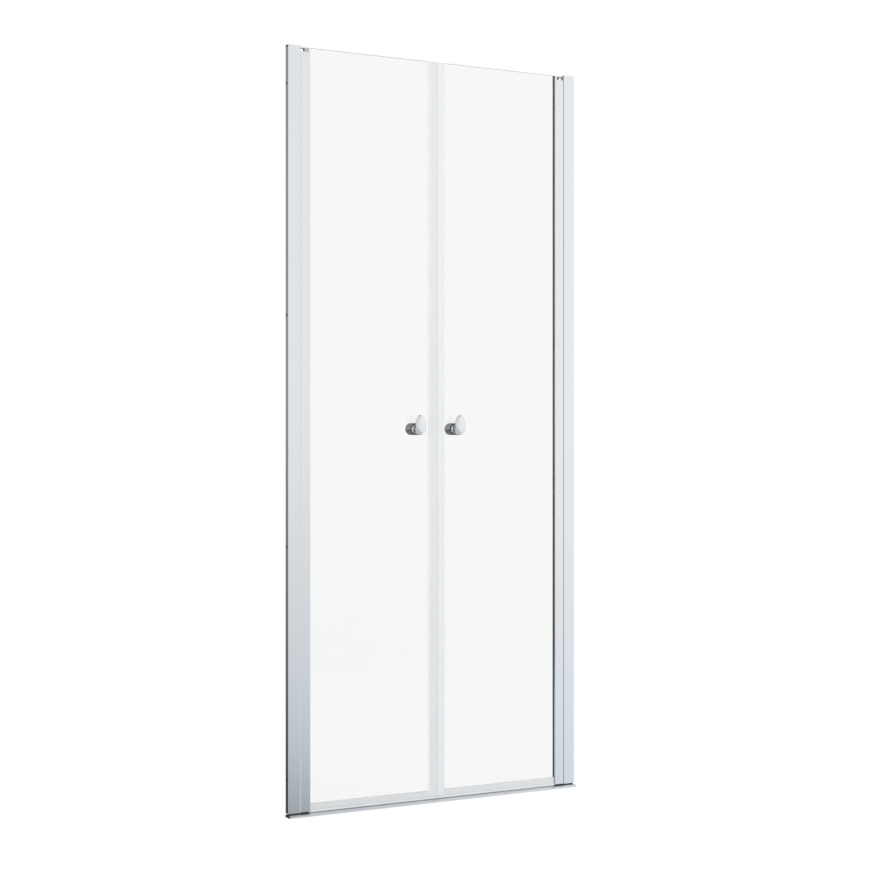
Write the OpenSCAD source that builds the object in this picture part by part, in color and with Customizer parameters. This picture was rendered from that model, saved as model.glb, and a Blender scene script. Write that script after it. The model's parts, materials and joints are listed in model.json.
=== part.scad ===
// Two-leaf swing door for a shower niche. Each glass leaf turns on two pins, both ways.
// Millimetres, +Z up. The front of the door faces -Y.
// The origin is the middle of the threshold's underside, in the plane of the closed glass.
// A post's pieces are drawn round its pivot axis, with +X towards the middle of the door.
// The right-hand post and leaf are the mirror image of the left-hand ones.

/* [Door] */
// Width of the door, from wall to wall
door_w = 884; // [760:2:1000]
// Height of the wall profiles
door_h = 2000; // [1800:10:2100]
// Depth of the profiles, front to back
post_d = 17; // [16.5:0.1:18]

/* [Wall profiles] */
// Width of a wall profile, from the wall to its open edge
wall_profile_w = 35; // [33:0.5:44]
// Distance from the pivot axis to that open edge
flange_reach = 14; // [13.5:0.1:14.5]
// Thickness of a wall profile's walls
wall_profile_t = 1.5; // [1.3:0.1:1.7]
// Radius of a wall profile's long edges at the wall
edge_r = 0.8; // [0.4:0.1:1]
// Radius of a wall profile's open edges
tip_r = 1.4; // [0.5:0.1:1.5]
// Diameter of the holes for the wall screws
wall_hole_d = 7; // [5:0.5:8]
// Number of wall screw holes in a profile
wall_holes = 4; // [3:1:6]
// Distance of the end holes from the bottom and the top of the door
wall_hole_inset = 100; // [60:10:200]

/* [Wall profile caps] */
// Thickness of a cap's plate
cap_t = 3; // [2:0.5:4]
// Height of the tab that fills the cut in the back of the profile
cap_tab_h = 6; // [5:0.5:10]
// Thickness of that tab
cap_tab_t = 8; // [5:0.5:10]
// Play of a cap in its profile
cap_gap = 0.1; // [0.05:0.05:0.2]

/* [Pivot profiles] */
// Play of a pivot profile in its wall profile, on each side
slide_gap = 0.2; // [0.1:0.05:0.3]
// Room for adjusting between a pivot profile and the back of its wall profile
adjust_gap = 12; // [9:0.5:13]
// Thickness of a pivot profile's walls
pivot_profile_t = 1.6; // [1.4:0.1:1.8]
// Gap between the stile's round back and what it turns in: the hollow seat and the open edges
seat_gap = 0.4; // [0.35:0.05:0.6]
// Height of the seat over the bottom of the cut in the stile
seat_rise = 6; // [2:0.5:7]
// Width of the sealing strip in the seat
strip_w = 3.8; // [3:0.1:4.5]
// Depth of the strip's groove
strip_groove = 1.6; // [1.4:0.1:1.8]
// Gap between the sealing strip and the stile
strip_clear = 0.3; // [0.3:0.01:0.34]
// Number of adjusting screws in a post
adjust_screws = 3; // [2:1:5]
// Distance of the end screws from the bottom and the top of the door
adjust_screw_inset = 150; // [120:10:250]
// Diameter of an adjusting screw
adjust_screw_d = 3.9; // [3.5:0.1:4.2]
// Length of an adjusting screw under its head
adjust_screw_l = 9.5; // [6.5:0.5:9.5]
// Diameter of an adjusting screw's head
adjust_head_d = 7.5; // [6.5:0.5:9]
// Height of an adjusting screw's head
adjust_head_h = 2.4; // [1.8:0.2:3]

/* [Stiles] */
// Distance from the pivot axis to the stile's face beside the glass
stile_nose = 14.5; // [14:0.1:15.5]
// Thickness of a stile's walls
stile_t = 1.7; // [1.5:0.1:1.9]
// Depth of the pocket that holds the glass
pocket_l = 8; // [7.5:0.1:8.3]
// Thickness of the web between the pocket and the hollow
web_t = 1.4; // [1.2:0.1:1.5]
// Distance from the pivot axis to the cut that clears the top arm
notch_x = 9.5; // [9.1:0.1:10.5]
// Height of that cut
notch_h = 12; // [9:0.5:16]
// Radius of the stile's corners beside the glass
nose_r = 1.25; // [1:0.25:2.5]
// Depth of the flats that break the stile's long edges at its round back
back_cut = 0.55; // [0.2:0.05:0.8]
// Angle between those flats and the wall
back_cut_turn = 53; // [45:1:60]

/* [Pivots] */
// Diameter of the pivot pins
pin_d = 6; // [5.5:0.1:6.2]
// Length of a pin inside the stile
pin_l = 24; // [18:1:30]
// Radial play of a pin in its bush
pin_play = 0.05; // [0.03:0.01:0.09]
// Thickness of a bush's wall
bush_t = 1.2; // [1:0.05:1.2]
// Diameter of a bush's flange
flange_d = 12.4; // [11:0.1:13]
// Thickness of a bush's flange
flange_t = 0.9; // [0.7:0.1:1.2]
// Gap between a bush's flange and the foot under it
flange_gap = 0.1; // [0.05:0.05:0.2]
// Length of the plugs in the ends of a stile
plug_l = 40; // [35:1:60]
// Play between pieces that are pushed or bonded into each other
fit_gap = 0.05; // [0.03:0.01:0.08]
// Thickness of the top arm
arm_t = 2.5; // [2:0.5:4]
// Width of the top arm
arm_w = 13; // [11:0.1:13.4]
// Length of the arm's and the foot's tongues in a pivot profile
tongue_l = 45; // [35:1:60]
// Play of a tongue in its pivot profile
tongue_gap = 0.15; // [0.1:0.05:0.3]
// Thickness of the foot under a post
foot_t = 4; // [3.5:0.5:7]
// Distance from the wall to the foot's outer end
foot_inset = 5; // [0:0.5:8]
// Radius of the foot's round end
foot_r = 12.4; // [11:0.1:14]
// Diameter of the screws that hold the arm's and the foot's tongues
tongue_screw_d = 4; // [3:0.5:5]
// Diameter of those screws' flat heads
tongue_screw_head_d = 7; // [6:0.5:7.5]
// Length of those screws
tongue_screw_l = 8; // [6:0.5:10]
// Distance of those screws from the ends of the pivot profile
tongue_screw_inset = 25; // [15:1:30]

/* [Glass] */
// Thickness of the glass
glass_t = 6; // [5:0.5:6.5]
// Height of the glass's lower edge over the foot's top
glass_lift = 6; // [4:0.5:8]
// Radius of the glass's upper corner at the middle of the door
glass_corner_r = 3; // [1:0.5:6]
// Thickness of the gasket round the glass in the pocket
gasket_t = 1; // [0.8:0.1:1.1]

/* [Seals] */
// Gap between the closed leaves' seals
meeting_gap = 0.7; // [0.6:0.1:2]
// Distance from the middle of the door to the edge of the glass
glass_setback = 12; // [11:0.5:15]
// Distance from the middle of the door to the back of a seal's head
seal_head_w = 17; // [16.5:0.5:22]
// Distance from the middle of the door to the tip of a seal's legs
seal_w = 24.5; // [22:0.5:32]
// Length of a seal's back legs as a share of its front legs
seal_back_share = 0.6; // [0.3:0.05:1]
// Thickness of a seal's legs
seal_leg_t = 1.1; // [0.8:0.1:1.4]
// Half the thickness of a seal's head at the middle of the door
seal_head_y = 6; // [5.6:0.1:7]
// Radius of the head's curved faces
seal_head_r = 105; // [90:5:200]
// Thickness of the skin round the magnet strip
magnet_skin = 1; // [0.8:0.1:1.2]
// Width of the magnet strip
magnet_w = 6; // [4:0.5:7]
// Thickness of the magnet strip
magnet_t = 7; // [5:0.5:7.5]
// Height of the drip seal's legs on the glass
drip_leg_h = 14; // [10:0.5:20]
// Thickness of the drip seal's legs and fins
drip_t = 1.1; // [0.8:0.1:1.4]
// Reach of the drip seal's fins, from the middle of the glass
drip_reach = 7.4; // [5.5:0.1:7.5]
// Gap between the drip seal's lip and the threshold
lip_gap = 1; // [0.5:0.1:2]
// Gap between the drip seal and the stile
drip_end_gap = 0.5; // [0.3:0.1:1]

/* [Knobs] */
// Height of the knobs' axis over the floor
knob_z = 1006; // [900:0.5:1100]
// Distance of the knobs' axis from the middle of the door
knob_inset = 61; // [50:1:90]
// Diameter of the stem and of the inner knob
knob_d = 32; // [26:0.5:36]
// Length of the stem
stem_l = 22; // [16:0.5:30]
// Height of the oval plate
plate_h = 54; // [46:0.5:62]
// Thickness of the oval plate
plate_t = 4; // [3:0.5:6]
// Radius of the oval plate's ends
plate_end_r = 11; // [9:0.25:12]
// Length of the inner knob
inner_knob_l = 35; // [22:0.5:36]
// Radius of the inner knob's rounded end
inner_knob_r = 6; // [4:0.5:8]
// Thickness of the rings between the knobs and the glass
ring_t = 1; // [0.8:0.1:1.5]
// Diameter of the hole in the glass
glass_hole_d = 12; // [10:0.5:16]
// Diameter of the stud that joins the two knobs
stud_d = 6; // [5:0.5:8]
// Depth of the stud in each knob
stud_depth = 12; // [9:0.5:14]
// Diameter of the grub screw in the inner knob
knob_grub_d = 5; // [4:0.5:6]
// Distance of that grub screw from the inner knob's flat end
knob_grub_y = 6; // [4:0.5:6.5]

/* [Threshold] */
// Height of the threshold
threshold_h = 6.5; // [6:0.5:12]
// Distance from the plane of the closed glass to the threshold's front
threshold_front = 18; // [16:0.5:25]
// Distance from that plane to the threshold's back
threshold_back = 9.5; // [9:0.5:14]
// Distance from that plane to the top of the threshold's front slope
threshold_slope = 11; // [9:0.5:12]
// Height of the threshold's upright front edge
threshold_edge_h = 4; // [2:0.5:5]
// Thickness of the caps on the threshold's ends
end_cap_t = 1; // [1:0.5:4]
// Width of the adhesive grooves under the threshold
tape_w = 6; // [4:0.5:6]
// Depth of the adhesive grooves
tape_t = 0.8; // [0.5:0.1:1.2]
// Distance of the grooves from the threshold's front and back
tape_inset = 2; // [1.5:0.5:3]

/* [Hidden] */
$fn = 96;

left = -1;
right = 1;
// A cutting body reaches this far past the face that it cuts
over = 1;

// Distances from the pivot axis: the stile turns inside the circle through the open edges
wall_x = -(wall_profile_w + flange_reach);
middle_x = door_w / 2 + wall_x;
flange_tip_x = -flange_reach;
seat_r = norm([flange_reach, post_d / 2]);
stile_back_r = seat_r - seat_gap;

// Heights
post_z = threshold_h + foot_t;
leaf_top = door_h - cap_t;
notch_z = leaf_top - notch_h;
seat_top_z = notch_z + seat_rise;
stile_z = post_z + flange_t + flange_gap;
glass_z = post_z + glass_lift;

// Pivot profile and what fits in it
channel_d = post_d - 2 * wall_profile_t;
pivot_profile_d = channel_d - 2 * slide_gap;
pivot_profile_x = wall_x + wall_profile_t + adjust_gap;
chamber_d = pivot_profile_d - 2 * pivot_profile_t;
chamber_x = pivot_profile_x + pivot_profile_t;
strip_boss_x = -(seat_r + strip_groove + pivot_profile_t);
screw_x = (chamber_x + strip_boss_x) / 2;
adjust_hole_d = adjust_screw_d + 2 * fit_gap;

// Stile and what fits in it
pocket_x = stile_nose - pocket_l;
pocket_d = glass_t + 2 * gasket_t;
hollow_x = pocket_x - web_t;
hollow_d = post_d - 2 * stile_t;
hollow_r = stile_back_r - stile_t;
bush_bore_d = pin_d + 2 * pin_play;
bush_d = bush_bore_d + 2 * bush_t;
bush_l = pin_l;
glass_x = pocket_x + gasket_t;
glass_slot_d = glass_t + 2 * fit_gap;
glass_end_x = middle_x - glass_setback;

// Knobs
knob_x = middle_x - knob_inset;
glass_y = glass_t / 2;
knob_seat_y = glass_y + ring_t;
plate_a = knob_d / 2;
plate_c = plate_h / 2 - plate_end_r;
plate_side_r = (pow(plate_a, 2) + pow(plate_c, 2) - pow(plate_end_r, 2)) / (2 * (plate_a - plate_end_r));
plate_tangent = plate_side_r * plate_c / (plate_side_r - plate_end_r);

// Evenly spaced heights, from one distance inside the bottom to the same inside the top
function heights(count, inset) =
    [for (i = [0 : count - 1]) inset + i * (door_h - 2 * inset) / (count - 1)];

// Turns a post's own frame into the door's
module at_post(side) {
    mirror([side == right ? 1 : 0, 0, 0])
        translate([-middle_x, 0, 0])
            children();
}

// A flat piece of even thickness between two heights
module slab(z0, z1) {
    translate([0, 0, z0])
        linear_extrude(z1 - z0)
            children();
}

// A rectangle from x0 to x1, centred on Y
module bar_2d(x0, x1, depth) {
    translate([x0, -depth / 2])
        square([x1 - x0, depth]);
}

// The same with round corners
module round_bar_2d(x0, x1, depth, r) {
    bar_2d(x0 + r, x1 - r, depth);
    bar_2d(x0, x1, depth - 2 * r);
    for (x = [x0 + r, x1 - r], y = [-depth / 2 + r, depth / 2 - r])
        translate([x, y])
            circle(r);
}

// A straight hole or rod along Y, from y0 to y1
module rod_y(x, z, d, y0, y1) {
    translate([x, y1, z])
        rotate([90, 0, 0])
            cylinder(h = y1 - y0, d = d);
}

// A straight hole or rod along Z
module rod_z(d, z0, z1) {
    translate([0, 0, z0])
        cylinder(h = z1 - z0, d = d);
}

// Threshold

module threshold_2d() {
    polygon([
        [-threshold_front, 0],
        [threshold_back, 0],
        [threshold_back, threshold_h],
        [-threshold_slope, threshold_h],
        [-threshold_front, threshold_edge_h],
    ]);
}

module threshold_length(x0, x1) {
    translate([x0, 0, 0])
        rotate([90, 0, 90])
            linear_extrude(x1 - x0)
                children();
}

module threshold_rail() {
    rail_x = door_w / 2 - end_cap_t;
    color("silver")
        threshold_length(-rail_x, rail_x)
            difference() {
                threshold_2d();
                for (y = [tape_inset - threshold_front, threshold_back - tape_inset - tape_w])
                    translate([y, -over])
                        square([tape_w, tape_t + over]);
            }
}

module threshold_end_cap(side) {
    color([0.08, 0.08, 0.09])
        mirror([side == right ? 1 : 0, 0, 0])
            threshold_length(-door_w / 2, -door_w / 2 + end_cap_t)
                threshold_2d();
}

// Posts

// A channel whose open edges clear the circle that the stile turns in
module wall_profile_2d() {
    difference() {
        union() {
            round_bar_2d(wall_x, flange_tip_x - tip_r, post_d, edge_r);
            round_bar_2d(wall_x + wall_profile_t, flange_tip_x, post_d, tip_r);
        }
        bar_2d(wall_x + wall_profile_t, flange_tip_x + over, channel_d);
        circle(seat_r);
    }
}

module wall_profile(side) {
    color([0.88, 0.9, 0.92])
        at_post(side)
            difference() {
                slab(post_z, door_h)
                    wall_profile_2d();
                slab(door_h - cap_tab_h, door_h + over)
                    bar_2d(wall_x - over, wall_x + wall_profile_t + over, channel_d);
                for (z = heights(wall_holes, wall_hole_inset))
                    translate([wall_x - over, 0, z])
                        rotate([0, 90, 0])
                            cylinder(h = wall_profile_t + 2 * over, d = wall_hole_d);
                for (z = heights(adjust_screws, adjust_screw_inset))
                    rod_y(screw_x, z, adjust_hole_d, channel_d / 2 - over, post_d / 2 + over);
            }
}

module wall_profile_cap(side) {
    cap_d = channel_d - 2 * cap_gap;
    color([0.08, 0.08, 0.09])
        at_post(side) {
            slab(door_h - cap_t, door_h)
                bar_2d(wall_x, flange_tip_x, cap_d);
            slab(door_h - cap_tab_h + cap_gap, door_h)
                bar_2d(wall_x, wall_x + cap_tab_t, cap_d);
        }
}

module pivot_profile_2d() {
    difference() {
        bar_2d(pivot_profile_x, 0, pivot_profile_d);
        circle(seat_r);
        difference() {
            bar_2d(chamber_x, 0, chamber_d);
            circle(seat_r + pivot_profile_t);
            bar_2d(strip_boss_x, 0, strip_w + 2 * pivot_profile_t);
        }
        bar_2d(-(seat_r + strip_groove), 0, strip_w + 2 * fit_gap);
    }
}

module pivot_profile(side) {
    color([0.86, 0.88, 0.9])
        at_post(side)
            difference() {
                slab(post_z, seat_top_z)
                    pivot_profile_2d();
                for (z = heights(adjust_screws, adjust_screw_inset))
                    rod_y(screw_x, z, adjust_hole_d, chamber_d / 2 - over, channel_d / 2);
                at_tongue_screws()
                    tongue_screw_hole();
            }
}

module seat_strip(side) {
    color([0.2, 0.2, 0.21])
        at_post(side)
            slab(post_z, seat_top_z)
                bar_2d(-(seat_r + strip_groove) + fit_gap, -(stile_back_r + strip_clear), strip_w);
}

module adjusting_screws(side) {
    color([0.7, 0.71, 0.73])
        at_post(side)
            for (z = heights(adjust_screws, adjust_screw_inset)) {
                rod_y(screw_x, z, adjust_screw_d, post_d / 2 - adjust_screw_l, post_d / 2);
                rod_y(screw_x, z, adjust_head_d, post_d / 2, post_d / 2 + adjust_head_h);
            }
}

// The hole for a tongue screw, through the profile's wall and into the tongue
module tongue_screw_hole() {
    countersunk_y(screw_x, 0, tongue_screw_d + 2 * fit_gap, tongue_screw_head_d + 2 * fit_gap,
        pivot_profile_d / 2 - tongue_screw_l - fit_gap, pivot_profile_d / 2);
}

// The tongue of the arm or the foot, inside the pivot profile
module tongue(z0, z1) {
    slab(z0, z1)
        bar_2d(chamber_x + tongue_gap, strip_boss_x - tongue_gap, chamber_d - 2 * tongue_gap);
}

module top_arm(side) {
    arm_z = leaf_top - arm_t;
    color([0.75, 0.76, 0.78])
        at_post(side)
            difference() {
                union() {
                    slab(arm_z, leaf_top)
                        bar_2d(chamber_x, 0, arm_w);
                    rod_z(arm_w, arm_z, leaf_top);
                    tongue(seat_top_z - tongue_l, arm_z);
                    slab(seat_top_z, arm_z)
                        bar_2d(chamber_x, strip_boss_x, arm_w);
                }
                rod_z(pin_d + 2 * fit_gap, arm_z - over, leaf_top + over);
                at_tongue_screws()
                    tongue_screw_hole();
            }
}

module top_pin(side) {
    color([0.25, 0.25, 0.27])
        at_post(side)
            rod_z(pin_d, notch_z - pin_l, leaf_top);
}

// A countersunk screw along Y, with its flat head's face at y1
module countersunk_y(x, z, d, head_d, y0, y1) {
    rod_y(x, z, d, y0, y1);
    translate([x, y1, z])
        rotate([90, 0, 0])
            cylinder(h = (head_d - d) / 2, d1 = head_d, d2 = d);
}

// The places of the screws that hold the arm's and the foot's tongues
module at_tongue_screws() {
    for (z = [post_z + tongue_screw_inset, seat_top_z - tongue_screw_inset])
        translate([0, 0, z])
            children();
}

module tongue_screws(side) {
    color([0.7, 0.71, 0.73])
        at_post(side)
            at_tongue_screws()
                countersunk_y(screw_x, 0, tongue_screw_d, tongue_screw_head_d,
                    pivot_profile_d / 2 - tongue_screw_l, pivot_profile_d / 2);
}

module foot(side) {
    color([0.08, 0.08, 0.09])
        at_post(side)
            difference() {
                union() {
                    slab(threshold_h, post_z)
                        union() {
                            bar_2d(wall_x + foot_inset, 0, post_d);
                            intersection() {
                                circle(foot_r);
                                bar_2d(0, foot_r, post_d);
                            }
                        }
                    tongue(post_z, post_z + tongue_l);
                }
                rod_z(pin_d + 2 * fit_gap, threshold_h - over, post_z + over);
                at_tongue_screws()
                    tongue_screw_hole();
            }
}

module bottom_pin(side) {
    color([0.6, 0.61, 0.63])
        at_post(side)
            rod_z(pin_d, threshold_h, post_z + pin_l);
}

// Leaves

module stile_2d() {
    flat_x = sqrt(pow(stile_back_r, 2) - pow(post_d / 2, 2));
    cut_x = flat_x * cos(back_cut_turn) + post_d / 2 * sin(back_cut_turn) - back_cut;
    difference() {
        intersection() {
            union() {
                circle(stile_back_r);
                round_bar_2d(0, stile_nose, post_d, nose_r);
                bar_2d(0, nose_r, post_d);
            }
            bar_2d(-stile_back_r, stile_nose, post_d);
        }
        for (turn = [-back_cut_turn, back_cut_turn])
            rotate(turn)
                bar_2d(-stile_back_r - over, -cut_x, 2 * stile_back_r);
    }
}

module hollow_2d(play) {
    intersection() {
        circle(hollow_r - play);
        bar_2d(-hollow_r, hollow_x - play, hollow_d - 2 * play);
    }
}

// What the cut at the top of a leaf takes away
module notch_cut() {
    slab(notch_z, door_h)
        bar_2d(-stile_back_r - over, notch_x, post_d + 2 * over);
}

module stile(side) {
    color([0.9, 0.92, 0.94])
        at_post(side)
            difference() {
                slab(stile_z, leaf_top)
                    difference() {
                        stile_2d();
                        hollow_2d(0);
                        bar_2d(pocket_x, stile_nose + over, pocket_d);
                    }
                notch_cut();
            }
}

module plug(z0, z1) {
    difference() {
        slab(z0, z1)
            hollow_2d(fit_gap);
        rod_z(bush_d + 2 * fit_gap, z0 - over, z1 + over);
    }
}

module top_plug(side) {
    color([0.16, 0.16, 0.17])
        at_post(side)
            plug(notch_z - plug_l, notch_z);
}

module bottom_plug(side) {
    color([0.16, 0.16, 0.17])
        at_post(side)
            plug(stile_z, stile_z + plug_l);
}

// A bush with its flange at z, and its sleeve going up or down from there
module bush(z, up) {
    translate([0, 0, z])
        mirror([0, 0, up ? 0 : 1])
            difference() {
                union() {
                    rod_z(flange_d, -flange_t, 0);
                    rod_z(bush_d, 0, bush_l);
                }
                rod_z(bush_bore_d, -flange_t - over, bush_l + over);
            }
}

// The top bush has a lip that covers the upright side of the cut in the leaf
module top_bush(side) {
    lip_x = notch_x - fit_gap;
    color([0.93, 0.93, 0.9])
        at_post(side) {
            bush(notch_z, false);
            difference() {
                slab(notch_z, notch_z + flange_t)
                    bar_2d(0, lip_x, flange_d);
                rod_z(bush_bore_d, notch_z - over, notch_z + flange_t + over);
            }
            slab(notch_z, leaf_top)
                bar_2d(lip_x - flange_t, lip_x, post_d);
        }
}

module bottom_bush(side) {
    color([0.93, 0.93, 0.9])
        at_post(side)
            bush(stile_z, true);
}

module glazing_gasket(side) {
    color([0.2, 0.2, 0.21])
        at_post(side)
            difference() {
                slab(glass_z, leaf_top)
                    difference() {
                        bar_2d(pocket_x, stile_nose, pocket_d);
                        bar_2d(glass_x - fit_gap, stile_nose + over, glass_slot_d);
                    }
                notch_cut();
            }
}

module glass(side) {
    corner_x = glass_end_x - glass_corner_r;
    corner_z = leaf_top - glass_corner_r;
    color([0.82, 0.92, 0.9, 0.35])
        at_post(side)
            difference() {
                union() {
                    slab(glass_z, corner_z)
                        bar_2d(glass_x, glass_end_x, glass_t);
                    slab(glass_z, leaf_top)
                        bar_2d(glass_x, corner_x, glass_t);
                    rod_y(corner_x, corner_z, 2 * glass_corner_r, -glass_y, glass_y);
                }
                notch_cut();
                rod_y(knob_x, knob_z, glass_hole_d, -glass_y - over, glass_y + over);
            }
}

// The head of a magnetic seal, with faces that curve back from the middle of the door
module seal_head_2d() {
    intersection() {
        bar_2d(middle_x - seal_head_w, middle_x - meeting_gap / 2, 2 * seal_head_y);
        translate([middle_x, seal_head_y - seal_head_r])
            circle(seal_head_r, $fn = 360);
        translate([middle_x, seal_head_r - seal_head_y])
            circle(seal_head_r, $fn = 360);
    }
}

// Half of the slotted part behind the head: the front legs or the back legs
module seal_leg_2d(reach, y0) {
    legs_d = glass_slot_d + 2 * seal_leg_t;
    translate([middle_x - reach, y0])
        square([reach - seal_head_w + over, legs_d / 2]);
}

module magnet_2d(play) {
    bar_2d(middle_x - meeting_gap / 2 - magnet_skin - magnet_w - play,
        middle_x - meeting_gap / 2 - magnet_skin + play, magnet_t + 2 * play);
}

module magnetic_seal(side) {
    legs_d = glass_slot_d + 2 * seal_leg_t;
    color([0.95, 0.96, 0.97])
        at_post(side)
            slab(glass_z, leaf_top)
                difference() {
                    union() {
                        seal_head_2d();
                        seal_leg_2d(seal_w, -legs_d / 2);
                        seal_leg_2d(seal_head_w + (seal_w - seal_head_w) * seal_back_share, 0);
                    }
                    magnet_2d(fit_gap);
                    bar_2d(middle_x - seal_w - over, glass_end_x + fit_gap, glass_slot_d);
                }
}

module magnet_strip(side) {
    color([0.35, 0.33, 0.32])
        at_post(side)
            slab(glass_z, leaf_top)
                magnet_2d(0);
}

module drip_seal_2d() {
    leg_d = glass_slot_d + 2 * drip_t;
    lip_z = threshold_h + lip_gap;
    fin_z = glass_z - drip_reach;
    difference() {
        translate([-leg_d / 2, glass_z - drip_t])
            square([leg_d, drip_leg_h + drip_t]);
        translate([-glass_slot_d / 2, glass_z])
            square([glass_slot_d, drip_leg_h + over]);
    }
    translate([-drip_t / 2, lip_z])
        square([drip_t, glass_z - lip_z]);
    polygon([
        [-drip_reach, fin_z],
        [drip_t - drip_reach, fin_z],
        [drip_t - glass_y, glass_z - drip_t],
        [glass_y - drip_t, glass_z - drip_t],
        [drip_reach - drip_t, fin_z],
        [drip_reach, fin_z],
        [glass_y, glass_z - drip_t / 2],
        [-glass_y, glass_z - drip_t / 2],
    ]);
}

module drip_seal(side) {
    drip_x = stile_nose + drip_end_gap;
    legs_end_x = middle_x - seal_w - drip_end_gap;
    color([0.85, 0.87, 0.88])
        at_post(side)
            difference() {
                threshold_length(drip_x, middle_x - meeting_gap)
                    drip_seal_2d();
                translate([legs_end_x, -drip_reach - over, glass_z - fit_gap])
                    cube([door_w, 2 * (drip_reach + over), drip_leg_h + 2 * over]);
            }
}

// Knobs

// An oval of four arcs that touch each other smoothly
module plate_2d() {
    intersection() {
        translate([plate_side_r - plate_a, 0])
            circle(plate_side_r, $fn = 180);
        translate([plate_a - plate_side_r, 0])
            circle(plate_side_r, $fn = 180);
        translate([-plate_a, -plate_tangent])
            square([2 * plate_a, 2 * plate_tangent]);
    }
    for (z = [-plate_c, plate_c])
        translate([0, z])
            circle(plate_end_r);
}

module outer_knob(side) {
    plate_z = knob_z - knob_d / 2 + plate_h / 2;
    stem_y = -knob_seat_y - stem_l;
    color([0.8, 0.82, 0.84])
        at_post(side)
            difference() {
                union() {
                    rod_y(knob_x, knob_z, knob_d, stem_y, -knob_seat_y);
                    translate([knob_x, stem_y, plate_z])
                        rotate([90, 0, 0])
                            linear_extrude(plate_t)
                                plate_2d();
                }
                rod_y(knob_x, knob_z, stud_d + 2 * fit_gap, -knob_seat_y - stud_depth - fit_gap, 0);
            }
}

module inner_knob(side) {
    knob_r = knob_d / 2;
    straight = inner_knob_l - inner_knob_r;
    color([0.8, 0.82, 0.84])
        at_post(side)
            difference() {
                translate([knob_x, knob_seat_y, knob_z])
                    rotate([-90, 0, 0])
                        rotate_extrude()
                            intersection() {
                                union() {
                                    square([knob_r, straight]);
                                    square([knob_r - inner_knob_r, inner_knob_l]);
                                    translate([knob_r - inner_knob_r, straight])
                                        circle(inner_knob_r);
                                }
                                square([knob_r, inner_knob_l]);
                            }
                rod_y(knob_x, knob_z, stud_d + 2 * fit_gap, 0, knob_seat_y + stud_depth + fit_gap);
                translate([knob_x, knob_seat_y + knob_grub_y, knob_z - knob_r - over])
                    cylinder(h = knob_r + over, d = knob_grub_d + 2 * fit_gap);
            }
}

module knob_rings(side) {
    color([0.06, 0.06, 0.07])
        at_post(side)
            for (y = [-knob_seat_y, glass_y])
                difference() {
                    rod_y(knob_x, knob_z, knob_d, y, y + ring_t);
                    rod_y(knob_x, knob_z, glass_hole_d, y - over, y + ring_t + over);
                }
}

module glass_bush(side) {
    color([0.9, 0.9, 0.88])
        at_post(side)
            difference() {
                rod_y(knob_x, knob_z, glass_hole_d - 2 * fit_gap, -knob_seat_y, knob_seat_y);
                rod_y(knob_x, knob_z, stud_d + 2 * fit_gap, -knob_seat_y - over, knob_seat_y + over);
            }
}

module knob_stud(side) {
    stud_y = knob_seat_y + stud_depth;
    color([0.65, 0.66, 0.68])
        at_post(side)
            rod_y(knob_x, knob_z, stud_d, -stud_y, stud_y);
}

module knob_grub_screw(side) {
    grub_l = (knob_d - stud_d) / 2 - 2 * fit_gap - over;
    color([0.12, 0.12, 0.13])
        at_post(side)
            translate([knob_x, knob_seat_y + knob_grub_y, knob_z - stud_d / 2 - fit_gap - grub_l])
                cylinder(h = grub_l, d = knob_grub_d);
}

threshold_rail();
threshold_end_cap(left);  // threshold_end_cap_left
threshold_end_cap(right);  // threshold_end_cap_right
wall_profile(left);  // wall_profile_left
wall_profile(right);  // wall_profile_right
wall_profile_cap(left);  // wall_profile_cap_left
wall_profile_cap(right);  // wall_profile_cap_right
pivot_profile(left);  // pivot_profile_left
pivot_profile(right);  // pivot_profile_right
seat_strip(left);  // seat_strip_left
seat_strip(right);  // seat_strip_right
adjusting_screws(left);  // adjusting_screws_left
adjusting_screws(right);  // adjusting_screws_right
top_arm(left);  // top_arm_left
top_arm(right);  // top_arm_right
top_pin(left);  // top_pin_left
top_pin(right);  // top_pin_right
tongue_screws(left);  // tongue_screws_left
tongue_screws(right);  // tongue_screws_right
foot(left);  // foot_left
foot(right);  // foot_right
bottom_pin(left);  // bottom_pin_left
bottom_pin(right);  // bottom_pin_right
stile(left);  // stile_left
stile(right);  // stile_right
top_plug(left);  // top_plug_left
top_plug(right);  // top_plug_right
bottom_plug(left);  // bottom_plug_left
bottom_plug(right);  // bottom_plug_right
top_bush(left);  // top_bush_left
top_bush(right);  // top_bush_right
bottom_bush(left);  // bottom_bush_left
bottom_bush(right);  // bottom_bush_right
glazing_gasket(left);  // glazing_gasket_left
glazing_gasket(right);  // glazing_gasket_right
glass(left);  // glass_left
glass(right);  // glass_right
magnetic_seal(left);  // magnetic_seal_left
magnetic_seal(right);  // magnetic_seal_right
magnet_strip(left);  // magnet_strip_left
magnet_strip(right);  // magnet_strip_right
drip_seal(left);  // drip_seal_left
drip_seal(right);  // drip_seal_right
outer_knob(left);  // outer_knob_left
outer_knob(right);  // outer_knob_right
inner_knob(left);  // inner_knob_left
inner_knob(right);  // inner_knob_right
knob_rings(left);  // knob_rings_left
knob_rings(right);  // knob_rings_right
glass_bush(left);  // glass_bush_left
glass_bush(right);  // glass_bush_right
knob_stud(left);  // knob_stud_left
knob_stud(right);  // knob_stud_right
knob_grub_screw(left);  // knob_grub_screw_left
knob_grub_screw(right);  // knob_grub_screw_right
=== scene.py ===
import json
import math

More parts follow.
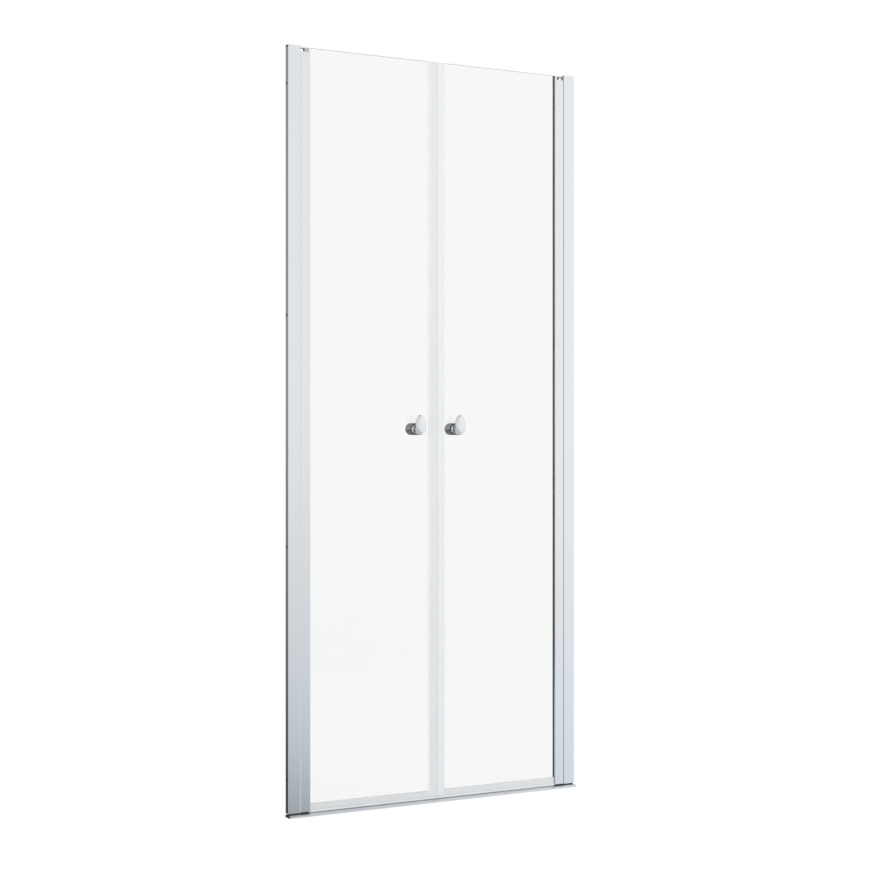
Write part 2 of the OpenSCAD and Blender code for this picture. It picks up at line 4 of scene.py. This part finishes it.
import bmesh
import bpy
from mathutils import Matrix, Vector


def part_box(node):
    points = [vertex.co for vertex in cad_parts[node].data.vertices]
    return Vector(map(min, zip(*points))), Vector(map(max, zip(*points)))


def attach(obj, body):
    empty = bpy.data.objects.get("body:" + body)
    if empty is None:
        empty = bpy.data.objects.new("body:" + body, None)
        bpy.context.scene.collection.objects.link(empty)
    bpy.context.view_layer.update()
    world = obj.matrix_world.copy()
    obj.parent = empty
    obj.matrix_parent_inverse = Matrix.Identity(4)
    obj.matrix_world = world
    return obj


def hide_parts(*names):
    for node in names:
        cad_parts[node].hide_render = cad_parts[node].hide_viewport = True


# Two-leaf swing door for a shower niche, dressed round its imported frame.
# Metres, +Z up. The front of the door faces -Y, and the two leaves close at X = 0.

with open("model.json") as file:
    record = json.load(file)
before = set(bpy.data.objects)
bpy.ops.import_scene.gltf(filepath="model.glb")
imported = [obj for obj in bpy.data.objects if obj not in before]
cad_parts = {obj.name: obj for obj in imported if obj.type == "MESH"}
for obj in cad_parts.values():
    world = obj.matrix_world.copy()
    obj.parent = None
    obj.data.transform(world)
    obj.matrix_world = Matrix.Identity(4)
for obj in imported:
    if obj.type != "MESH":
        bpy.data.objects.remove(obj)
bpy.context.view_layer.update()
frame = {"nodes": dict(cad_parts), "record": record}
nodes = frame["nodes"]

SIDES = ("left", "right")

# Camera, as fitted to the photograph: level, to the left of the door's middle
CAMERA_AZIMUTH = -29.33
CAMERA_DISTANCE = 4.978
CAMERA_HEIGHT = 0.990
CAMERA_LENS = 76.17
CAMERA_SENSOR = 36.0
CAMERA_SHIFT_X = -0.001

# Light levels, where 1 is white
BACKGROUND_LEVEL = 1.0
AMBIENT_LEVEL = 0.62

# The floor's own shine, as seen directly and as cast on the door, its colour, the radii between
# which it fades into the background, and how far it lies below the door
FLOOR_GLOW = 0.94
FLOOR_BOUNCE = 0.5
FLOOR_ALBEDO = 0.1
FLOOR_SOLID_RADIUS = 1.2
FLOOR_RADIUS = 3.2
FLOOR_DROP = 0.0005

# Square lamps that aim at the door's middle: place, size and power
LAMP_TARGET = (0.0, 0.0, 1.0)
LAMPS = {
    "key": ((2.6, -4.6, 1.9), 2.6, 150.0),
    "fill": ((-3.2, 4.4, 1.9), 2.4, 120.0),
}

# A ray's mirrored bounces are a whole number, so this tells none from one or more
HALF_A_BOUNCE = 0.5

# The noise values at which a surface is darkest and lightest
NOISE_LOW = 0.3
NOISE_HIGH = 0.7

# How strongly glass and vinyl bend light
CLEAR_IOR = 1.5

# Outer knob: the oval plate's thickness and the radius of its two ends, and each ring of its
# edge as the distance in from the outline and the distance back from the front face
PLATE_THICKNESS = 0.004
PLATE_END_RADIUS = 0.011
PLATE_EDGE = (
    (0.0004, 0.004),
    (0.0, 0.0036),
    (0.0, 0.0017),
    (0.0002, 0.0014),
    (0.0005, 0.0012),
    (0.0070, 0.00015),
    (0.0076, 0.00004),
    (0.0082, 0.0),
)
# The stem's rings, as the distance in from its side and the distance from its end at the glass,
# and how far the stem runs into the plate
STEM_EDGE = ((0.0006, 0.0), (0.0002, 0.0002), (0.0, 0.0007))
STEM_SINK = 0.0005
# Steps in each arc of an outline, and the angle from which an edge is drawn crisp
ARC_STEPS = 24
CRISP_ANGLE = math.radians(25)

# What metal mirrors is a studio painted by direction. A direction's X, Y and Z run from -1 to 1,
# and each ramp is a row of stops: a value of X or Z, and the grey, share or colour there.
# The ranges of X and Z that the ramps cover
ACROSS = (-1.0, 1.0)
FALL_RANGE = (-1.0, 0.1)
TINT_RANGE = (-0.3, 0.1)
# For each half of the studio: its grey against X, the share of that grey that is lost low down,
# against X too, and how that loss grows, against Z
ROOM_IN_FRONT = {
    "grey": ((-1.0, 0.9), (-0.5, 0.85), (0.0, 0.78), (0.41, 0.94), (0.56, 1.0)),
    "lost": ((0.28, 0.25), (0.37, 0.68), (0.41, 0.68), (0.545, 0.16), (0.7, 0.0)),
    "fall": (
        (-0.45, 0.5),
        (-0.3, 1.0),
        (-0.22, 1.0),
        (-0.2, 0.83),
        (-0.1765, 0.46),
        (-0.144, 0.29),
        (-0.09, 0.19),
        (-0.035, 0.07),
        (0.01, 0.0),
    ),
}
ROOM_BEHIND = {
    "grey": (
        (-0.72, 0.8),
        (-0.6, 0.18),
        (-0.5, 0.24),
        (-0.41, 0.345),
        (-0.33, 0.19),
        (0.5, 0.17),
        (0.72, 0.8),
    ),
    "lost": ((-0.6, 0.55), (-0.545, 0.65), (-0.41, 1.0), (-0.33, 0.2)),
    "fall": (
        (-0.45, 0.5),
        (-0.3, 0.9),
        (-0.22, 0.86),
        (-0.2, 0.87),
        (-0.16, 0.7),
        (-0.133, 0.58),
        (-0.09, 0.42),
        (-0.035, 0.25),
        (0.01, 0.0),
    ),
}
# How far in Y, each way from 0, the half behind the door blends into the half in front
ROOM_BORDER = 0.1
# The bright window in the middle of the half behind: its grey against X, and the Y at which it
# starts and is full
WINDOW = ((-0.3, 0.75), (0.3, 0.85))
WINDOW_START = 0.947
WINDOW_FULL = 0.98
# The bright ceiling: its grey against X, and the Z at which it starts and is full
CEILING = ((-1.0, 0.8), (-0.4, 0.7), (0.3, 0.3), (0.41, 0.38), (0.47, 0.9), (0.5, 1.0))
CEILING_START = 0.4
CEILING_FULL = 0.6
# The cooler colour of what is mirrored low down, against Z
LOW_TINT = (
    (-0.2, (0.90, 0.95, 1.0)),
    (-0.145, (0.915, 0.955, 1.0)),
    (-0.115, (0.945, 0.965, 1.0)),
    (-0.07, (0.98, 0.985, 1.0)),
    (0.0, (1.0, 1.0, 1.0)),
)


# Shader nodes


def grey(level):
    """An opaque grey, where 1 is white."""
    return (level, level, level, 1.0)


def math_node(tree, operation, one, other):
    """The result of an operation on two levels, each of them a socket or a number."""
    made = tree.nodes.new("ShaderNodeMath")
    made.operation = operation
    for socket, value in zip(made.inputs, (one, other)):
        if isinstance(value, float):
            socket.default_value = value
        else:
            tree.links.new(value, socket)
    return made.outputs["Value"]


def vector_node(tree, operation, *sources):
    """The outputs of an operation on one or two directions, which come from sockets."""
    made = tree.nodes.new("ShaderNodeVectorMath")
    made.operation = operation
    for socket, source in zip(made.inputs, sources):
        tree.links.new(source, socket)
    return made.outputs


def rise(tree, source, start, full, interpolation="LINEAR"):
    """0 where source is at start, 1 where it is at full, and a rise between them."""
    span = tree.nodes.new("ShaderNodeMapRange")
    span.interpolation_type = interpolation
    span.inputs["From Min"].default_value = start
    span.inputs["From Max"].default_value = full
    tree.links.new(source, span.inputs["Value"])
    return span.outputs["Result"]


def mixed(tree, share, one, other):
    """One level where share is 0, the other where it is 1."""
    mix = tree.nodes.new("ShaderNodeMix")
    mix.data_type = "FLOAT"
    for socket, source in (("Factor", share), ("A", one), ("B", other)):
        tree.links.new(source, mix.inputs[socket])
    return mix.outputs["Result"]


def mixed_shaders(tree, share, one, other):
    """One shader where share is 0, the other where it is 1."""
    mix = tree.nodes.new("ShaderNodeMixShader")
    for socket, source in zip(mix.inputs, (share, one, other)):
        tree.links.new(source, socket)
    return mix.outputs["Shader"]


def colour_ramp(tree, source, stops):
    """A colour that follows source, from (position, colour) pairs, with positions from 0 to 1."""
    ramp = tree.nodes.new("ShaderNodeValToRGB")
    points = ramp.color_ramp.elements
    while len(points) < len(stops):
        # Its place among the others is set below
        points.new(stops[-1][0])
    for point, (position, colour) in zip(points, stops):
        point.position = position
        point.color = (*colour, 1.0)
    tree.links.new(source, ramp.inputs["Fac"])
    return ramp.outputs["Color"]


def colour_along(tree, source, limits, stops):
    """A colour that follows source within limits, from (value, colour) pairs."""
    low, high = limits
    placed = [((value - low) / (high - low), colour) for value, colour in stops]
    return colour_ramp(tree, rise(tree, source, low, high), placed)


def grey_along(tree, source, limits, stops):
    """A grey that follows source within limits, from (value, grey) pairs."""
    return colour_along(tree, source, limits, [(value, (level,) * 3) for value, level in stops])


# Materials


class Shading:
    """A material with one Principled shader, and short ways to drive it from noise."""

    def __init__(self, name, values):
        self.material = bpy.data.materials.new(name)
        self.material.use_nodes = True
        self.tree = self.material.node_tree
        self.shader = self.tree.nodes["Principled BSDF"]
        for socket, value in values.items():
            self.shader.inputs[socket].default_value = value

    def drive(self, socket, source):
        self.tree.links.new(source, self.shader.inputs[socket])

    def noise(self, waves, detail=2.0):
        """Noise in the object's own coordinates, with its waves per metre along X, Y and Z."""
        where = self.tree.nodes.new("ShaderNodeTexCoord")
        stretch = self.tree.nodes.new("ShaderNodeMapping")
        stretch.inputs["Scale"].default_value = waves
        noise = self.tree.nodes.new("ShaderNodeTexNoise")
        noise.inputs["Scale"].default_value = 1.0
        noise.inputs["Detail"].default_value = detail
        self.tree.links.new(where.outputs["Object"], stretch.inputs["Vector"])
        self.tree.links.new(stretch.outputs["Vector"], noise.inputs["Vector"])
        return noise.outputs["Fac"]

    def shade(self, factor, colour, darkest):
        """Colours the surface after factor, from a darker share of the colour to all of it."""
        dark = tuple(part * darkest for part in colour)
        stops = ((NOISE_LOW, dark), (NOISE_HIGH, colour))
        self.drive("Base Color", colour_ramp(self.tree, factor, stops))

    def roughen(self, factor, roughness, spread):
        """Varies the roughness after factor, by a spread each way."""
        span = self.tree.nodes.new("ShaderNodeMapRange")
        span.inputs["To Min"].default_value = roughness - spread
        span.inputs["To Max"].default_value = roughness + spread
        self.tree.links.new(factor, span.inputs["Value"])
        self.drive("Roughness", span.outputs["Result"])

    def bump(self, height, depth, strength):
        bump = self.tree.nodes.new("ShaderNodeBump")
        bump.inputs["Strength"].default_value = strength
        bump.inputs["Distance"].default_value = depth
        self.tree.links.new(height, bump.inputs["Height"])
        self.drive("Normal", bump.outputs["Normal"])

    def mix_with_clear(self, share, tint):
        """Shows the surface where share is 0, and what lies behind it, tinted, where share is 1."""
        clear = self.tree.nodes.new("ShaderNodeBsdfTransparent")
        clear.inputs["Color"].default_value = (*tint, 1.0)
        shown = mixed_shaders(self.tree, share, self.shader.outputs["BSDF"], clear.outputs["BSDF"])
        self.tree.links.new(shown, self.tree.nodes["Material Output"].inputs["Surface"])

    def clear_to_lamps(self, tint):
        """Lets the lamps shine through with a tint, so that the piece throws no hard shadow."""
        path = self.tree.nodes.new("ShaderNodeLightPath")
        self.mix_with_clear(path.outputs["Is Shadow Ray"], tint)


def lengthwise(fine, long, along):
    """Waves per metre of lines that run along one axis."""
    waves = [fine, fine, fine]
    waves["xyz".index(along)] = long
    return waves


def extruded_metal(name, colour, roughness, along):
    """Anodised aluminium with the faint lines of its extrusion along one axis."""
    metal = Shading(name, {"Metallic": 1.0})
    lines = metal.noise(lengthwise(fine=900.0, long=3.0, along=along), detail=3.0)
    cloud = metal.noise(waves=(6.0, 6.0, 2.0))
    metal.shade(lines, colour, darkest=0.975)
    metal.roughen(cloud, roughness, spread=0.02)
    metal.bump(lines, depth=0.00002, strength=0.4)
    return metal.material


def plated_metal(name, colour, roughness):
    """Polished plating with a faint smear."""
    metal = Shading(name, {"Metallic": 1.0})
    smear = metal.noise(waves=(180.0, 180.0, 180.0), detail=4.0)
    metal.shade(smear, colour, darkest=0.97)
    metal.roughen(smear, roughness, spread=0.4 * roughness)
    return metal.material


def turned_steel(name, colour, roughness):
    """Plain steel with the grain of drawing and turning."""
    metal = Shading(name, {"Metallic": 1.0})
    grain = metal.noise(waves=(700.0, 700.0, 2500.0), detail=3.0)
    metal.shade(grain, colour, darkest=0.85)
    metal.roughen(grain, roughness, spread=0.06)
    metal.bump(grain, depth=0.00002, strength=0.5)
    return metal.material


def moulded_plastic(name, colour, roughness, grain_depth):
    """Moulded plastic or rubber with a fine grain."""
    plastic = Shading(name, {})
    grain = plastic.noise(waves=(2500.0, 2500.0, 2500.0))
    patches = plastic.noise(waves=(40.0, 40.0, 40.0))
    plastic.shade(patches, colour, darkest=0.85)
    plastic.roughen(patches, roughness, spread=0.05)
    plastic.bump(grain, depth=grain_depth, strength=0.6)
    return plastic.material


def soft_vinyl(name, colour, clear, roughness, along, lit_through):
    """Milky or clear vinyl with faint lines along it. It lets a share of the lamps' light through."""
    vinyl = Shading(name, {"Transmission Weight": clear, "IOR": CLEAR_IOR})
    lines = vinyl.noise(lengthwise(fine=400.0, long=2.0, along=along))
    vinyl.shade(lines, colour, darkest=0.97)
    vinyl.roughen(lines, roughness, spread=0.05)
    vinyl.clear_to_lamps((lit_through,) * 3)
    return vinyl.material


def clear_glass(name, colour):
    """Clear toughened glass, faintly uneven in colour."""
    glass = Shading(name, {"Transmission Weight": 1.0, "IOR": CLEAR_IOR, "Roughness": 0.0})
    wave = glass.noise(waves=(5.0, 5.0, 5.0))
    glass.shade(wave, colour, darkest=0.998)
    glass.clear_to_lamps(colour)
    return glass.material


# For each slot: the function that makes its material, its colour and the function's other values
MATERIAL_VALUES = {
    "bright_aluminium": (extruded_metal, (0.805, 0.835, 0.85), {"roughness": 0.1, "along": "z"}),
    "satin_aluminium": (extruded_metal, (0.85, 0.87, 0.89), {"roughness": 0.27, "along": "x"}),
    "chrome": (plated_metal, (0.82, 0.83, 0.85), {"roughness": 0.07}),
    "steel": (turned_steel, (0.3, 0.31, 0.33), {"roughness": 0.3}),
    "dark_steel": (turned_steel, (0.14, 0.14, 0.15), {"roughness": 0.35}),
    "glass": (clear_glass, (0.934, 0.934, 0.934), {}),
    "milky_vinyl": (
        soft_vinyl,
        (0.87, 0.885, 0.90),
        {"clear": 0.15, "roughness": 0.4, "along": "z", "lit_through": 0.6},
    ),
    "clear_vinyl": (
        soft_vinyl,
        (0.87, 0.885, 0.895),
        {"clear": 0.35, "roughness": 0.3, "along": "x", "lit_through": 0.75},
    ),
    "magnet": (moulded_plastic, (0.2, 0.19, 0.18), {"roughness": 0.7, "grain_depth": 0.00002}),
    "black_plastic": (moulded_plastic, (0.025, 0.025, 0.028), {"roughness": 0.5, "grain_depth": 0.00003}),
    "dark_plastic": (moulded_plastic, (0.09, 0.09, 0.1), {"roughness": 0.5, "grain_depth": 0.00003}),
    "white_plastic": (moulded_plastic, (0.8, 0.8, 0.78), {"roughness": 0.35, "grain_depth": 0.00001}),
    "black_rubber": (moulded_plastic, (0.02, 0.02, 0.02), {"roughness": 0.65, "grain_depth": 0.00002}),
    "grey_rubber": (moulded_plastic, (0.12, 0.12, 0.13), {"roughness": 0.7, "grain_depth": 0.00002}),
}
MATERIALS = {
    slot: make(slot, colour, **values)
    for slot, (make, colour, values) in MATERIAL_VALUES.items()
}


def paint_nodes():
    for part in frame["record"]["subparts"]:
        slots = nodes[part["node"]].data.materials
        slots.clear()
        slots.append(MATERIALS[part["material_slot"]])


# Pieces modelled here


def add_loft(mesh, rings):
    """A closed body through rings of points, with a flat face over each end."""
    made = [[mesh.verts.new(point) for point in points] for points in rings]
    for one, other in zip(made, made[1:]):
        for i in range(len(one)):
            mesh.faces.new((one[i - 1], one[i], other[i], other[i - 1]))
    mesh.faces.new(made[0])
    mesh.faces.new(reversed(made[-1]))


def finish_piece(name, mesh, slot, body, replaced):
    """Makes the mesh a smooth piece with crisp edges, riding on a body in place of a node."""
    bmesh.ops.recalc_face_normals(mesh, faces=mesh.faces)
    for face in mesh.faces:
        face.smooth = True
    for edge in mesh.edges:
        edge.smooth = edge.calc_face_angle(0.0) < CRISP_ANGLE
    data = bpy.data.meshes.new(name)
    mesh.to_mesh(data)
    mesh.free()
    piece = bpy.data.objects.new(name, data)
    bpy.context.scene.collection.objects.link(piece)
    data.materials.append(MATERIALS[slot])
    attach(piece, body)
    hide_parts(replaced)


def arc(centre, radius, start, stop):
    """Points of an arc without its last one, from one angle to another, in radians from +X."""
    turn = (stop - start) / ARC_STEPS
    angles = [start + i * turn for i in range(ARC_STEPS)]
    return [(centre[0] + radius * math.cos(a), centre[1] + radius * math.sin(a)) for a in angles]


def circle(radius):
    """A round outline with as many points as the oval."""
    quarter = math.pi / 2
    return [
        point
        for i in range(4)
        for point in arc((0.0, 0.0), radius, i * quarter, (i + 1) * quarter)
    ]


def oval(half_width, half_height, end_radius, inset):
    """An outline of four arcs that touch each other smoothly, drawn in by inset."""
    end = half_height - end_radius
    side_radius = (half_width**2 + end**2 - end_radius**2) / (2 * (half_width - end_radius))
    side = side_radius - half_width
    turn = math.atan2(end, side)
    arcs = (
        ((-side, 0.0), side_radius, -turn, turn),
        ((0.0, end), end_radius, turn, math.pi - turn),
        ((side, 0.0), side_radius, math.pi - turn, math.pi + turn),
        ((0.0, -end), end_radius, math.pi + turn, 2 * math.pi - turn),
    )
    return [
        point
        for centre, radius, start, stop in arcs
        for point in arc(centre, radius - inset, start, stop)
    ]


def outer_knob(side):
    """A round stem with an upright oval plate, which has a broad sloping edge."""
    low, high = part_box(f"outer_knob_{side}")
    middle_x = (low.x + high.x) / 2
    half_width = (high.x - low.x) / 2
    half_height = (high.z - low.z) / 2
    plate_z = (low.z + high.z) / 2
    stem_z = low.z + half_width
    mesh = bmesh.new()
    plate = []
    for inset, back in PLATE_EDGE:
        outline = oval(half_width, half_height, PLATE_END_RADIUS, inset)
        plate.append([(middle_x + x, low.y + back, plate_z + z) for x, z in outline])
    add_loft(mesh, plate)
    stem = []
    plate_back = low.y + PLATE_THICKNESS
    for inset, forward in (*STEM_EDGE, (0.0, high.y - plate_back + STEM_SINK)):
        outline = circle(half_width - inset)
        stem.append([(middle_x + x, high.y - forward, stem_z + z) for x, z in outline])
    add_loft(mesh, stem)
    finish_piece(f"knob_with_plate_{side}", mesh, "chrome", f"{side}_leaf", f"outer_knob_{side}")


# Camera, floor and light


def make_camera():
    azimuth = math.radians(CAMERA_AZIMUTH)
    level = math.radians(90)
    camera = bpy.data.objects.new("camera", bpy.data.cameras.new("camera"))
    bpy.context.scene.collection.objects.link(camera)
    across = math.sin(azimuth) * CAMERA_DISTANCE
    back = math.cos(azimuth) * CAMERA_DISTANCE
    camera.location = (across, -back, CAMERA_HEIGHT)
    camera.rotation_euler = (level, 0.0, azimuth)
    camera.data.lens = CAMERA_LENS
    camera.data.sensor_width = CAMERA_SENSOR
    camera.data.shift_x = CAMERA_SHIFT_X
    bpy.context.scene.camera = camera


def seen_directly(tree):
    """1 for rays from the camera, and for those that glass lets through on their way from it."""
    path = tree.nodes.new("ShaderNodeLightPath").outputs
    unmirrored = math_node(tree, "LESS_THAN", path["Glossy Depth"], HALF_A_BOUNCE)
    through = math_node(tree, "MULTIPLY", path["Is Transmission Ray"], unmirrored)
    return math_node(tree, "MAXIMUM", path["Is Camera Ray"], through)


def seen_in_metal(tree):
    """1 for mirrored rays, also after glass that lets them through."""
    path = tree.nodes.new("ShaderNodeLightPath").outputs
    sharp = math_node(tree, "MAXIMUM", path["Is Glossy Ray"], path["Is Transmission Ray"])
    mirrored = math_node(tree, "GREATER_THAN", path["Glossy Depth"], HALF_A_BOUNCE)
    return math_node(tree, "MULTIPLY", sharp, mirrored)


def room_reflection(tree, along, room):
    """The grey of one half of the studio, which falls off low down."""
    level = grey_along(tree, along["X"], ACROSS, room["grey"])
    sideways = grey_along(tree, along["X"], ACROSS, room["lost"])
    down = grey_along(tree, along["Z"], FALL_RANGE, room["fall"])
    kept = math_node(tree, "SUBTRACT", 1.0, math_node(tree, "MULTIPLY", sideways, down))
    return math_node(tree, "MULTIPLY", level, kept)


def studio_reflection(tree):
    """What metal mirrors: a white room in front, a dark one with a window behind, and a ceiling."""
    where = tree.nodes.new("ShaderNodeTexCoord")
    split = tree.nodes.new("ShaderNodeSeparateXYZ")
    tree.links.new(where.outputs["Generated"], split.inputs["Vector"])
    along = split.outputs
    dark_room = room_reflection(tree, along, ROOM_BEHIND)
    window = grey_along(tree, along["X"], ACROSS, WINDOW)
    behind = mixed(tree, rise(tree, along["Y"], WINDOW_START, WINDOW_FULL), dark_room, window)
    front = room_reflection(tree, along, ROOM_IN_FRONT)
    rooms = mixed(tree, rise(tree, along["Y"], ROOM_BORDER, -ROOM_BORDER), behind, front)
    overhead = grey_along(tree, along["X"], ACROSS, CEILING)
    level = mixed(tree, rise(tree, along["Z"], CEILING_START, CEILING_FULL), rooms, overhead)
    tint = colour_along(tree, along["Z"], TINT_RANGE, LOW_TINT)
    return vector_node(tree, "MULTIPLY", level, tint)["Vector"]


def make_world():
    """White as seen directly, the studio as mirrored in metal, and an even light for the rest."""
    world = bpy.data.worlds.new("studio")
    bpy.context.scene.world = world
    world.use_nodes = True
    tree = world.node_tree
    ambient = tree.nodes["Background"]
    ambient.inputs["Color"].default_value = grey(AMBIENT_LEVEL)
    white = tree.nodes.new("ShaderNodeBackground")
    white.inputs["Strength"].default_value = BACKGROUND_LEVEL
    white.inputs["Color"].default_value = grey(1.0)
    studio = tree.nodes.new("ShaderNodeBackground")
    tree.links.new(studio_reflection(tree), studio.inputs["Color"])
    light, mirrored, shown = (made.outputs["Background"] for made in (ambient, studio, white))
    indirect = mixed_shaders(tree, seen_in_metal(tree), light, mirrored)
    final = mixed_shaders(tree, seen_directly(tree), indirect, shown)
    tree.links.new(final, tree.nodes["World Output"].inputs["Surface"])


def make_floor():
    """A pale floor that fades into the white background away from the door."""
    rim = FLOOR_RADIUS
    corners = [(-rim, -rim, 0), (rim, -rim, 0), (rim, rim, 0), (-rim, rim, 0)]
    mesh = bpy.data.meshes.new("floor")
    mesh.from_pydata(corners, [], [(0, 1, 2, 3)])
    floor = bpy.data.objects.new("floor", mesh)
    bpy.context.scene.collection.objects.link(floor)
    floor.location.z = -FLOOR_DROP
    floor.visible_glossy = False
    mesh.materials.append(floor_material())


def floor_material():
    """Dull and pale. It shines white where it is seen directly, and lights the door evenly."""
    surface = {
        "Base Color": grey(FLOOR_ALBEDO),
        "Roughness": 1.0,
        "Specular IOR Level": 0.0,
        "Emission Color": grey(1.0),
    }
    floor = Shading("floor", surface)
    tree = floor.tree
    glow = math_node(tree, "MULTIPLY", seen_directly(tree), FLOOR_GLOW)
    floor.drive("Emission Strength", math_node(tree, "MAXIMUM", glow, FLOOR_BOUNCE))
    where = tree.nodes.new("ShaderNodeTexCoord")
    away = vector_node(tree, "LENGTH", where.outputs["Object"])["Value"]
    fade = rise(tree, away, FLOOR_SOLID_RADIUS, FLOOR_RADIUS, interpolation="SMOOTHSTEP")
    floor.mix_with_clear(fade, (1.0, 1.0, 1.0))
    return floor.material


def make_lamp(name, location, size, power):
    lamp = bpy.data.objects.new(name, bpy.data.lights.new(name, "AREA"))
    bpy.context.scene.collection.objects.link(lamp)
    aim = Vector(LAMP_TARGET) - Vector(location)
    lamp.location = location
    lamp.rotation_euler = aim.to_track_quat("-Z", "Y").to_euler()
    lamp.data.size = size
    lamp.data.energy = power
    lamp.visible_camera = False
    lamp.visible_glossy = False
    lamp.visible_transmission = False


bpy.context.scene.view_settings.view_transform = "Standard"
paint_nodes()
for side in SIDES:
    outer_knob(side)
make_camera()
make_world()
make_floor()
for name, (location, size, power) in LAMPS.items():
    make_lamp(name, location, size, power)
